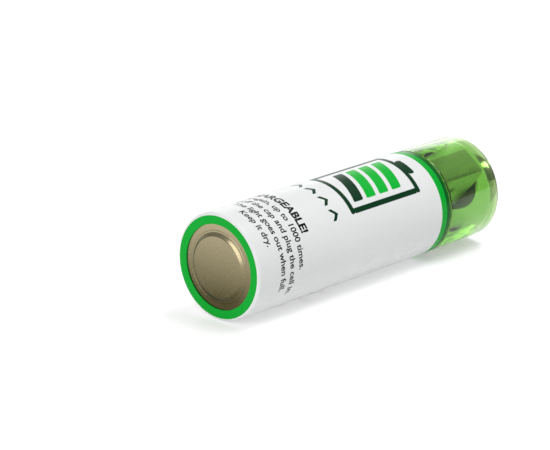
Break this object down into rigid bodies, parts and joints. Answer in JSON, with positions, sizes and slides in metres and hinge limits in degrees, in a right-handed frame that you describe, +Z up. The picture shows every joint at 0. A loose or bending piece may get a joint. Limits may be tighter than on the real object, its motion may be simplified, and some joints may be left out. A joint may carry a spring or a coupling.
{
  "type": "cylindrical battery cell",
  "caption": "Rechargeable AA-size cell lying on its side, with a printed sleeve, a wound cell inside and a charging plug under a clear pull-off cap.",
  "frame": {"origin": "midway along the cell, on the surface it lies on, straight under its axis", "axes": "+X along the cell's axis from the negative contact to the positive button; +Z up"},
  "size_m": [0.0505, 0.0144, 0.0145],
  "materials": {
    "sleeve_film": "glossy shrink film, printed white with green ends",
    "can_nickel": "nickel plate, satin, slightly warm",
    "insulator_film": "pressed fibre",
    "negative_mass": "porous metal-hydride powder on perforated strip",
    "positive_mass": "porous nickel hydroxide in metal foam",
    "separator_felt": "soft nonwoven",
    "nickel_strip": "bright rolled nickel",
    "nylon": "natural nylon",
    "lid_steel": "nickel-plated steel, satin",
    "vent_rubber": "matt rubber",
    "washer_fibre": "green fibre",
    "board_laminate": "green solder mask on glass laminate",
    "chip_epoxy": "moulded epoxy with tinned legs",
    "ferrite": "shielded ferrite",
    "capacitor_ceramic": "ceramic with tinned ends",
    "resistor_ceramic": "glazed black on ceramic",
    "led_lens": "clear epoxy, slightly milky",
    "collar_plastic": "polished dark green moulding",
    "plug_steel": "nickel-plated stamped steel",
    "insert_plastic": "moulded thermoplastic",
    "contact_gold": "gold flash on the contact strips",
    "cap_plastic": "clear green, polished",
    "button_nickel": "nickel plate, bright",
    "leaf_bronze": "phosphor bronze spring strip"
  },
  "bodies": {
    "cell": {"label_sleeve": "sleeve_film", "cell_can": "can_nickel", "bottom_insulator": "insulator_film", "negative_electrode": "negative_mass", "positive_electrode": "positive_mass", "separators": "separator_felt", "positive_tab": "nickel_strip", "top_insulator": "insulator_film", "sealing_gasket": "nylon", "cell_lid": "lid_steel", "vent_plug": "vent_rubber", "cell_terminal": "lid_steel", "crimp_washer": "washer_fibre", "positive_lead": "nickel_strip", "negative_lead": "nickel_strip", "spacer_ring": "nylon", "charger_board": "board_laminate", "charger_chip": "chip_epoxy", "power_inductor": "ferrite", "power_transistor": "chip_epoxy", "chip_capacitors": "capacitor_ceramic", "chip_resistors": "resistor_ceramic", "charge_led": "led_lens", "collar": "collar_plastic", "usb_shell": "plug_steel", "usb_insert": "insert_plastic", "usb_contacts": "contact_gold"},
    "cap": {"cap_shell": "cap_plastic", "positive_button": "button_nickel", "contact_leaf": "leaf_bronze"}
  },
  "joints": [
    {"name": "cap_pull", "type": "slide", "parent": "cell", "child": "cap", "axis": [1, 0, 0], "range_m": [0, 0.03]}
  ]
}
